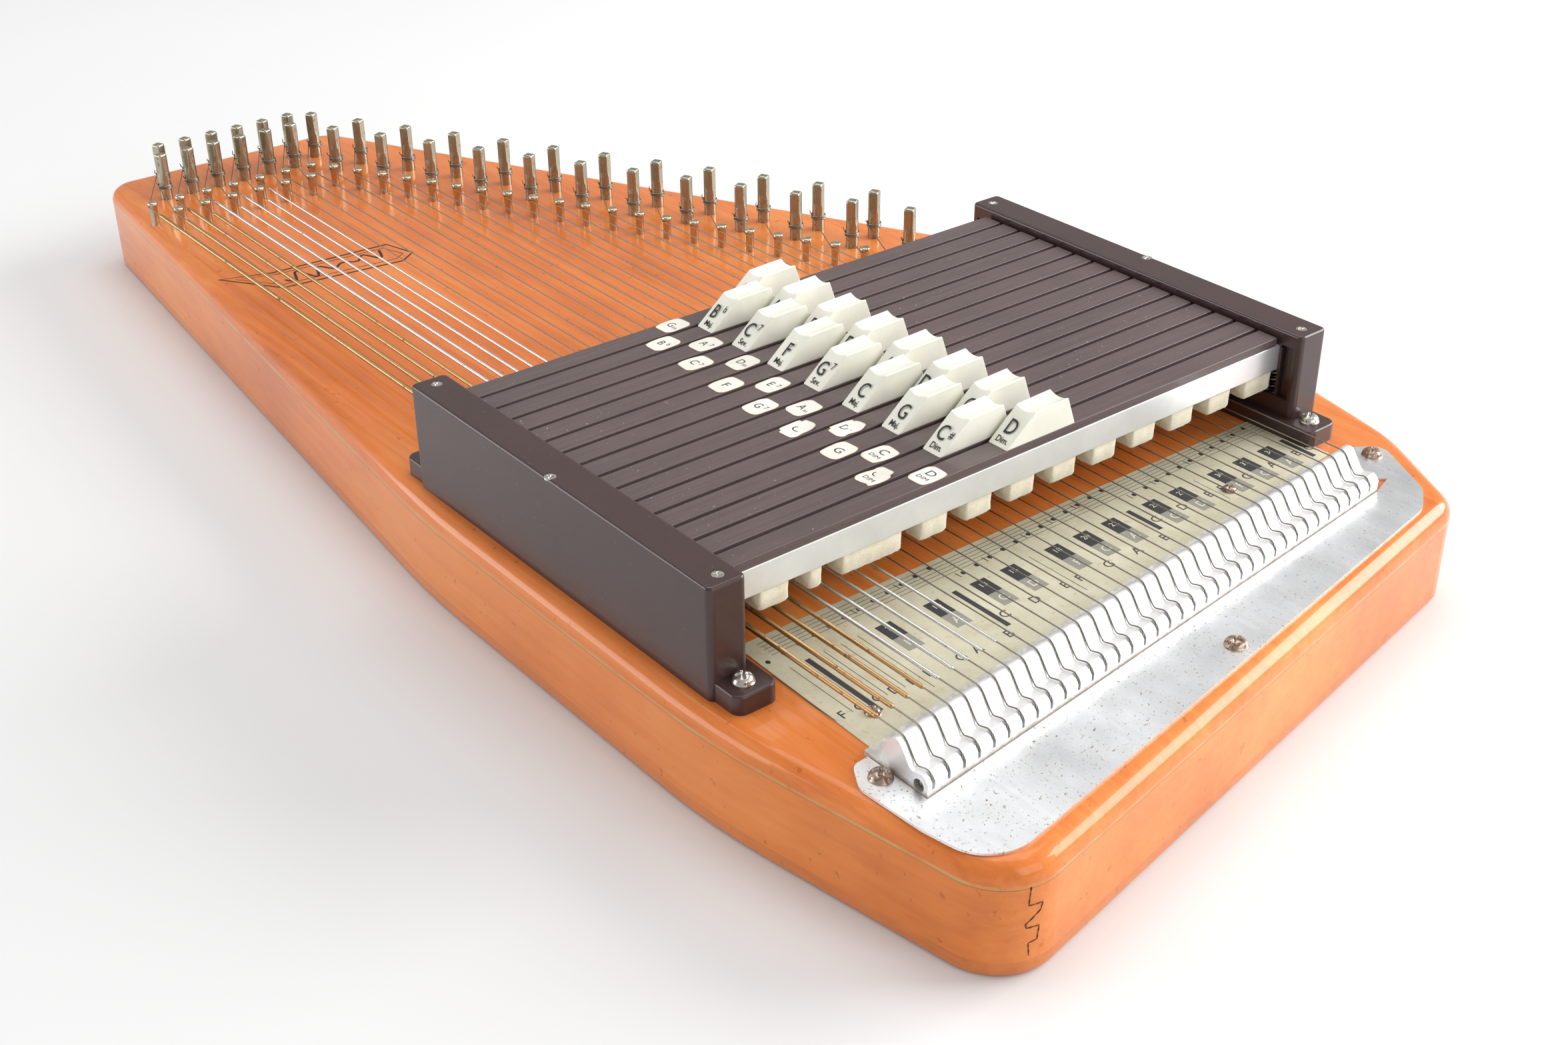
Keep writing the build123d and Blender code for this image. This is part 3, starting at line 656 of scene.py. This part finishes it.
def winding(shape, index, pitch):
    """A wound cover: a close helical thread round the core wire, thinning out at its near end."""
    head = string_point(232.0 - 0.7 * index, index)
    tail = string_point(GUIDES[index][0] + 12.0, index)
    run = tail - head
    length = run.length
    ahead = run / length
    side = ahead.cross(Vector((0, 0, 1))).normalized()
    rise = ahead.cross(side)
    outer = string_radius(index)
    depth = min(0.14, pitch * 0.32)
    sides, per_turn = 8, 3
    count = int(length / pitch * per_turn)
    rings = []
    for i in range(count + 1):
        along = length * i / count
        taper = min(1.0, 0.55 + along / 1.4, 0.55 + (length - along) / 1.4)
        ring = []
        for k in range(sides):
            angle = 2 * pi * k / sides
            phase = along / pitch - k / sides
            r = (outer - depth * (0.5 - 0.5 * cos(2 * pi * phase))) * taper
            ring.append(head + ahead * along + (side * cos(angle) + rise * sin(angle)) * r)
        rings.append(ring)
    shape.loft(rings, 1)


for index in range(STRINGS):
    string(index)

# ------------------------------------------------------------------ tuning pins


SQUARE_Z = 44.6
SQUARE_TURN = radians(27)


def pin_radius(angle, radius, z):
    """Round shank that turns into a slightly tapered square head."""
    if z <= SQUARE_Z:
        return radius
    share = min(1.0, (z - SQUARE_Z) / 2.2)
    half = (2.15 - 0.02 * (z - 45)) * (radius / PIN_R)
    facing = max(abs(cos(angle - SQUARE_TURN)), abs(sin(angle - SQUARE_TURN)))
    square = min(half / facing, radius * 1.02)
    return radius * (1 - share) + square * share


def tuning_pin(index):
    """A pin with its coil of wire and the loose end that sticks out of it."""
    shape = Shape()
    x, y = PINS[index]
    rows = [(0.05, 12.3), (1.7, 12.3), (PIN_R, 13.1), (PIN_R, 34.0), (PIN_R, SQUARE_Z)]
    rows += [(PIN_R, SQUARE_Z + 0.45 * k) for k in range(1, 22)]
    rows += [(2.42, 54.35), (2.2, 54.65), (1.7, 54.88), (0.9, 54.98), (0.05, 55.0)]
    shape.lathe(x, y, rows, 32, 0, pin_radius)
    start = coil_side(index)
    first = atan2(start.y, start.x)
    turns, coil_r = 3.6, PIN_R + COIL_WIRE
    path = []
    for k in range(int(turns * 20) + 1):
        angle = first - 2 * pi * k / 20
        rise = COIL_Z + 1.0 - 0.56 * k / 20
        path.append((x + coil_r * cos(angle), y + coil_r * sin(angle), rise))
    close = path[-1]
    path.append((x + (close[0] - x) * 0.8, y + (close[1] - y) * 0.8, close[2] - 0.1))
    shape.tube(path, COIL_WIRE, 8, 1)
    tip = Vector(path[0])
    away = Vector((-start.y, start.x, 0)) * draw.uniform(-1, 1) + start * draw.uniform(0.2, 1.0)
    end = tip + away + Vector((0, 0, draw.uniform(0.8, 2.2)))
    shape.tube(smooth_path([tip, tip + start * 0.5 + Vector((0, 0, 0.5)), end], 4), 0.2, 6, 1)
    number = f"{index + 1:02d}"
    shape.make(f"tuning_pin_{number}_turned", f"pin_{number}", ["pin", "coil"],
               [f"tuning_pin_{number}"], "pin_steel")


for index in range(STRINGS):
    tuning_pin(index)

# ------------------------------------------------------------------ guide pins and screws

PLATE_SCREWS = [(240.4, -125.4), (257.6, -9.7), (213.0, 110.2)]
CARD_SCREWS = [(217.5, -108.1), (198.5, 57.1)]
HOLDER_SIDES = [(-138.5, 1), (113.4, -1)]
FOOT_SCREW_X = (29.4, 190.6)
CAP_SCREWS = [(38.0, 6.8), (110.0, 1.7), (182.0, 6.8)]


def guide_pin(shape, x, y):
    """A stout pin with a thick, round-shouldered head that leans over the string."""
    rows = [(0.03, 21.0), (1.5, 21.0), (1.6, 34.0), (1.63, 42.9), (1.7, 43.0), (2.05, 43.05)]
    rows += [(2.05 + 0.08 * sin(pi * k / 6), 43.05 + 0.16 * k) for k in range(1, 6)]
    rows += [(2.02, 44.1), (1.85, 44.34), (1.4, 44.46), (0.6, 44.5), (0.03, 44.5)]
    shape.lathe(x, y, rows, 24)


def screw_head(shape, x, y, seat, radius, tall, turn, mark=0, flat=False):
    """A domed or flat head with a tapered cross recess, on a short shank."""
    rings = []
    for k in range(15):
        share = 1 - k / 14
        ring = []
        for i in range(48):
            angle = 2 * pi * i / 48 + turn
            r = max(0.02, radius * share)
            px, py = r * cos(angle - turn), r * sin(angle - turn)
            arm = min(abs(px), abs(py)) < radius * 0.13 and max(abs(px), abs(py)) < radius * 0.58
            high = seat + tall * (1.0 if flat else sqrt(max(0.0, 1 - share ** 2.6)))
            if arm:
                high -= tall * (0.7 if flat else 0.5)
            ring.append((x + r * cos(angle), y + r * sin(angle), high))
        rings.append(ring)
    foot = [(x + (px - x) * 0.45, y + (py - y) * 0.45, seat - 6.0) for px, py, _ in rings[0]]
    under = [(x + (px - x) * 0.45, y + (py - y) * 0.45, seat) for px, py, _ in rings[0]]
    rim = [(px, py, seat) for px, py, _ in rings[0]]
    shape.loft([foot, under, rim] + rings, mark)


guides = Shape()
for x, y in GUIDES:
    guide_pin(guides, x, y)
guides.make("guide_pins", "instrument", ["guides"], ["hardware"], "screw_metal")

screws = Shape()
for x, y in PLATE_SCREWS:
    screw_head(screws, x, y, BOARD_TOP + 0.8, 3.4, 2.4, draw.uniform(0, 1.5), 0)
for x, y in CARD_SCREWS:
    screw_head(screws, x, y, BOARD_TOP + 0.3, 2.4, 1.6, draw.uniform(0, 1.5), 0)
for y, side in HOLDER_SIDES:
    for x in FOOT_SCREW_X:
        screw_head(screws, x, y + side * 8.0, 41.0, 3.3, 2.3, draw.uniform(0, 1.5), 1)
    for x, inward in CAP_SCREWS:
        screw_head(screws, x, y + side * inward, 69.95, 1.85, 0.75, draw.uniform(0, 1.5), 1, True)
screws.make("screws", "instrument", ["rusty", "screws"], ["hardware"], "screw_metal")

# ------------------------------------------------------------------ chord bars


def box_points(x_range, y_range, z_range):
    """Corners and outward faces of a box."""
    (x0, x1), (y0, y1), (z0, z1) = x_range, y_range, z_range
    points = [(x, y, z) for z in (z0, z1) for x, y in ((x0, y0), (x1, y0), (x1, y1), (x0, y1))]
    faces = [(3, 2, 1, 0), (4, 5, 6, 7), (0, 1, 5, 4), (1, 2, 6, 5), (2, 3, 7, 6), (3, 0, 4, 7)]
    return points, faces


def bar_tube(bar):
    """The aluminium box tube, narrowed a little at both ends."""
    shape = Shape()
    x = bar_x(bar)

    def ring(y, half, low, high):
        return [(x - half, y, low), (x + half, y, low), (x + half, y, high), (x - half, y, high)]

    y0, y1 = TUBE_ENDS
    shape.loft([
        ring(y0, BAR_HALF - 1, BAR_LOW + 1, BAR_HIGH - 1), ring(y0, BAR_HALF, BAR_LOW, BAR_HIGH),
        ring(y1, BAR_HALF, BAR_LOW, BAR_HIGH), ring(y1, BAR_HALF - 1, BAR_LOW + 1, BAR_HIGH - 1),
    ], capped=False, closed=True)
    return shape


def felt_pads(bar, chord):
    """Felt pads between the notches, softly uneven and furry at the edges."""
    shape = Shape()
    x = bar_x(bar)
    edges = [FELT_ENDS[0]]
    for index, note in enumerate(notes()):
        if note in chord:
            y = string_point(x, index).y
            edges += [y - NOTCH / 2, y + NOTCH / 2]
    edges.append(FELT_ENDS[1])
    for near, far in zip(edges[::2], edges[1::2]):
        if far - near > 0.8:
            pad(shape, x, near, far, 90 if bar == BARS - 1 else 25)
    return shape


def pad(shape, x, near, far, hairs):
    """One felt block between two notches, with loose fibres on its sides and underside."""
    low, high, half = FELT_LOW + 0.1, BAR_LOW - 0.02, 3.4
    rows = max(2, int((far - near) / 1.1))
    rings = []
    corner = 0.5
    middle = (low + high) / 2
    section = [(-half + corner, low), (-1.2, low), (1.2, low), (half - corner, low), (half, low + corner),
               (half, middle), (half, high), (-half, high), (-half, middle), (-half, low + corner)]
    for i in range(rows + 1):
        y = near + (far - near) * i / rows
        end = i in (0, rows)
        ring = []
        for dx, z in section:
            soft = 0.0 if z == high else 0.12
            shrink = 0.93 if end and z != high else 1.0
            lift = 0.35 if end and z < low + corner + 0.01 else 0.0
            ring.append((x + dx * shrink + draw.uniform(-soft, soft), y,
                         z + lift + draw.uniform(-soft, soft) * 0.8))
        rings.append(ring)
    for ring, y in ((rings[0], near), (rings[-1], far)):
        for i, (px, _, pz) in enumerate(ring):
            ring[i] = (px, y + draw.uniform(-0.06, 0.06), pz)
    shape.loft(rings)
    for _ in range(int(hairs * (far - near) / 10)):
        face = draw.random()
        side = 1 if draw.random() < 0.7 else -1
        y = draw.uniform(near, far)
        if face < 0.5:
            root = Vector((x + side * half, y, draw.uniform(low, high)))
            out = Vector((side, 0, 0))
        else:
            root = Vector((x + draw.uniform(-half, half), y, low + 0.1))
            out = Vector((0, 0, -1))
        drift = Vector((draw.uniform(-1, 1), draw.uniform(-1, 1), draw.uniform(-1, 1))) * 0.45
        tip = root + out * draw.uniform(0.06, 0.32) + drift
        tip.z = max(tip.z, FELT_LOW)
        tip.x = min(max(tip.x, x - HAIR_REACH), x + HAIR_REACH)
        knee = (root + tip) / 2 + out * 0.08
        knee.x = min(max(knee.x, x - HAIR_REACH), x + HAIR_REACH)
        shape.tube([root - out * 0.1, knee, tip], lambda i: (0.035, 0.028, 0.012)[i], 3)


def button_shape(bar, start):
    """Wedge key: a sloping label face and a top hollowed along its length."""
    shape = Shape()
    x = bar_x(bar)
    rows = []
    for k in range(-10, 11):
        dx = BAR_HALF * k / 10
        dip = max(0.0, SCOOP_DEEP - SCOOP_R + sqrt(SCOOP_R ** 2 - dx ** 2))
        rows.append([
            (x + dx, start, BAR_TOP),
            (x + dx, start + LIP[0], BAR_TOP + LIP[1] - dip),
            (x + dx, start + RIDGE[0], BAR_TOP + RIDGE[1] - dip),
            (x + dx, start + BUTTON_LONG, BAR_TOP),
        ])
    shape.loft(rows)
    return shape


def button_letters(bar, start, letters, kind):
    """The chord name and its kind on the sloping face of a button."""
    shape = Shape()
    slope = Vector((0, LIP[0], LIP[1])).normalized()
    foot = Vector((bar_x(bar), start, BAR_TOP))
    side = Vector((1, 0, 0))
    shift = -1.2 if len(letters) > 1 else 0.0
    big = foot + slope * 5.0 + side * shift
    shape.add(*lettering(letters[0], 7.4, big, side, slope, squeeze=0.74, bold=0.035), soft=False)
    if len(letters) > 1:
        mark = "b" if letters[1] == "♭" else letters[1].replace("♯", "#")
        raised = 6.6 if mark == "#" else 8.3
        spot = foot + slope * raised + side * 2.25
        shape.add(*lettering(mark, 3.6, spot, side, slope, squeeze=0.8, bold=0.03), soft=False)
    small = foot + slope * 1.7
    shape.add(*lettering(kind, 2.95, small, side, slope, squeeze=0.84, bold=0.03), soft=False)
    return shape


STICKER_Y = [
    -46.9, -57.5, -47.1, -58.0, -46.2, -59.9, -48.7, -60.9, -51.2, -61.5, -49.8, -60.5, -52.7, -62.9, -50.7,
]
CURLED = (9, 10, 13)


def sticker(bar, letters, dim):
    """A worn paper label on the bar top, a little askew, with a browned edge."""
    x, y = bar_x(bar), STICKER_Y[bar]
    shape = Shape()
    lean = draw.uniform(-0.07, 0.07)
    bite = draw.uniform(0, 2 * pi)
    high = BAR_TOP + 0.1
    rings = []
    for shrink, lift in ((1.0, -0.07), (1.0, 0.0), (0.965, 0.01), (0.0, 0.01)):
        ring = []
        for k in range(48):
            angle = 2 * pi * k / 48
            c, s = cos(angle), sin(angle)
            px = 3.9 * abs(c) ** 0.42 * (1 if c > 0 else -1)
            py = 5.4 * abs(s) ** 0.55 * (1 if s > 0 else -1)
            torn = 1.0 - (0.16 * max(0.0, cos(3 * (angle - bite))) ** 4 if bar in CURLED else 0.0)
            torn += 0.012 * sin(7 * angle + bite)
            px, py = px * shrink * torn, py * shrink * torn
            curl = 1.3 * max(0.0, (py + 0.4 * px) / 4.9 - 0.45) ** 1.5 if bar in CURLED else 0.0
            ring.append((x + px * cos(lean) - py * sin(lean), y + px * sin(lean) + py * cos(lean),
                         high + lift + curl))
        rings.append(ring)
    shape.loft(rings[:2], 2, False, False)
    shape.loft(rings[1:3], 2, False, False)
    shape.loft(rings[2:], 0, False, False)
    across = Vector((cos(lean), sin(lean), 0))
    up = Vector((-sin(lean), cos(lean), 0))
    spot = Vector((x, y, high + 0.015))
    main = letters.replace("♭", "b").replace("♯", "#")
    base = 0.1 if dim else -1.5
    wide, shift = (0.9, 0.8) if len(main) > 1 else (1.1, 0.0)
    big = spot + up * base - across * shift
    shape.add(*lettering(main[0], 4.3, big, across, up, squeeze=wide), mark=1, soft=False)
    if len(main) > 1:
        raised = -0.2 if main[1] == "m" else 1.5
        small = spot + up * (base + raised) + across * 1.9
        shape.add(*lettering(main[1], 2.5, small, across, up), mark=1, soft=False)
    if dim:
        shape.add(*lettering("DIM", 2.3, spot - up * 2.7, across, up, squeeze=1.15), mark=1, soft=False)
    return shape


def chord_bar(bar):
    """Every piece that rides on one chord bar."""
    root_name, kind, letters, short = CHORDS[bar]
    root = NOTE_NAMES.index(root_name)
    chord = [NOTE_NAMES[(root + step) % 12] for step in STEPS[kind]]
    number = f"{bar + 1:02d}"
    body = f"bar_{number}"
    start = BUTTON_START[bar % 2]
    x = bar_x(bar)
    bar_tube(bar).make(f"bar_{number}_tube", body, ["bar_metal"], [f"chord_bar_{number}"],
                       "bar_metal", 0.3, 2)
    strip = Shape()
    strip.add(*box_points((x - 3.85, x + 3.85), STRIP_ENDS, (BAR_HIGH + 0.02, BAR_TOP)), 0, True)
    strip.make(f"bar_{number}_strip", body, ["strip"], bevel=0.28, steps=2)
    felt_pads(bar, chord).make(f"bar_{number}_felt", body, ["felt"])
    button_shape(bar, start).make(f"bar_{number}_button", body, ["button"],
                                  bevel=0.45, steps=3, angle=24)
    button_letters(bar, start, letters, kind).make(f"bar_{number}_letters", body, ["label"])
    paper = sticker(bar, short, kind == "Dim.")
    paper.make(f"bar_{number}_sticker", body, ["sticker", "label", "sticker_edge"])


for bar in range(BARS):
    chord_bar(bar)

# ------------------------------------------------------------------ note card and ornament

CARD_Z = BOARD_TOP + 0.3
FIRST_COLUMN_Y = -115.0
COLUMN = 6.117
KEYS_FROM = 187.2
READ = ((0, 1, 0), (-1, 0, 0))  # across and up, as a player reads the card
SHARP_TO = 202.0


def card_y(column):
    return FIRST_COLUMN_Y + COLUMN * column


def note_card():
    """The card under the strings: a stave with note heads, key marks and note letters."""
    shape = Shape()
    lip = [(anchor_x(229.3, y), y) for y in (-118.6, 101.2)]
    shape.prism([(170.0, -117.0), *lip, (171.5, 101.4)], BOARD_TOP + 0.02, CARD_Z)
    shape.make("note_card", "instrument", ["card"], bevel=0.06, steps=1)
    ink = Shape()
    flat = (CARD_Z + 0.005, CARD_Z + 0.03)

    def stripe(x_range, y_range, mark=0):
        ink.add(*box_points(x_range, y_range, flat), mark, False)

    for line in range(5):
        x = 172.8 + 1.65 * line
        stripe((x - 0.09, x + 0.09), (-112.0, 99.5))
    names = notes()
    for column, name in enumerate(names):
        y = card_y(column)
        edge = y - COLUMN / 2
        rise = 181.5 - (column % 12) * 0.75
        dot = [(rise + 0.9 * cos(2 * pi * k / 12), y + 0.75 * sin(2 * pi * k / 12)) for k in range(12)]
        ink.prism(dot, *flat)
        reach = 213.2 if column < 11 else 205.2 if column < 23 else 196.2
        if "#" in name:
            near, far = y - 2.95, y + 2.95
            stripe((KEYS_FROM, SHARP_TO), (near, far))
            grey = [(195.0, near), (SHARP_TO, near), (SHARP_TO, far), (195.0, far)]
            ink.prism(grey, CARD_Z + 0.03, CARD_Z + 0.04, 1)
            ink.add(*lettering(str(column + 1), 3.0, (191.0, y, CARD_Z + 0.04), *READ), 2, False)
            ink.add(*lettering(name[0], 4.6, (200.0, y, CARD_Z + 0.04), *READ), 2, False)
            ink.prism([(rise - 1.4, y - 2.2), (rise + 1.4, y - 2.0),
                       (rise + 1.4, y - 1.7), (rise - 1.4, y - 1.9)], *flat)
        else:
            ink.add(*lettering(name, 4.8, (reach + 1.6, y, CARD_Z), *READ, bold=0.02), 0, False)
        previous = names[column - 1] if column else ""
        if name == "C":
            stripe((KEYS_FROM, reach + 5.0), (edge - 0.9, edge + 0.9))
        elif name == "F" and previous == "E":
            stripe((KEYS_FROM, reach + 6.0), (edge - 0.1, edge + 0.1))
        elif column < 5:
            stripe((KEYS_FROM, 214.0), (edge - 0.1, edge + 0.1))
    ink.make("note_card_print", "instrument", ["ink", "grey_ink", "white_ink"])


def ornament():
    """A plain wave in a slanted frame, drawn on the soundboard."""
    shape = Shape()
    z = BOARD_TOP + 0.04

    def stroke(points, width, closed=False):
        path = [Vector((x, y, z)) for x, y in points]
        left, rightside = [], []
        for i, point in enumerate(path):
            before = path[i - 1] if (i or closed) else point
            after = path[(i + 1) % len(path)] if (i + 1 < len(path) or closed) else point
            ahead = (after - before).normalized()
            side = Vector((-ahead.y, ahead.x, 0)) * width / 2
            left.append(point + side)
            rightside.append(point - side)
        for i in range(len(path) - (0 if closed else 1)):
            j = (i + 1) % len(path)
            ring = [left[i], rightside[i], rightside[j], left[j]]
            low = [p - Vector((0, 0, 0.03)) for p in ring]
            shape.add(low + ring, [(0, 1, 2, 3), (7, 6, 5, 4), (0, 4, 5, 1), (2, 6, 7, 3)], 0, False)

    outer = [(-160, -117), (-137, -101), (-131, -52), (-136, -45), (-150, -49), (-153, -98)]
    stroke(outer, 1.0, True)
    inner = [(-156, -112), (-140, -100), (-134.5, -53), (-137.5, -48.5), (-147.5, -52), (-150.5, -97)]
    stroke(inner, 0.4, True)
    wave = [(-143.5 + 5.0 * sin(k * 0.42) * (0.6 + 0.4 * sin(k * 0.11)), -97 + 0.62 * k) for k in range(70)]
    stroke(wave, 1.1)
    shape.make("ornament", "instrument", ["ornament"])


def joint_line():
    """The open glue line of the finger joint at the near tail corner."""
    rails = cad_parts["frame_rails"]
    into = rails.matrix_world.inverted()
    path = [(-119.0, 28.4), (-119.3, 22.7), (-115.4, 22.5), (-115.8, 20.4), (-119.8, 16.9),
            (-119.6, 15.6), (-116.0, 15.4), (-116.4, 11.0), (-118.8, 10.6), (-118.4, 6.0)]
    shape = Shape()
    points = []
    for (y0, z0), (y1, z1) in zip(path, path[1:]):
        steps = max(2, int(max(abs(y1 - y0), abs(z1 - z0)) / 0.5))
        for k in range(steps):
            y, z = y0 + (y1 - y0) * k / steps, z0 + (z1 - z0) * k / steps
            start = into @ (Vector((400, y, z)) * MM)
            hit, spot, _, _ = rails.ray_cast(start, into.to_3x3() @ Vector((-1, 0, 0)))
            if hit:
                points.append(rails.matrix_world @ spot / MM)
    shape.tube(points, lambda i: 0.2 + 0.07 * sin(i * 1.7), 6)
    shape.make("joint_line", "instrument", ["gap"])


note_card()
ornament()
joint_line()
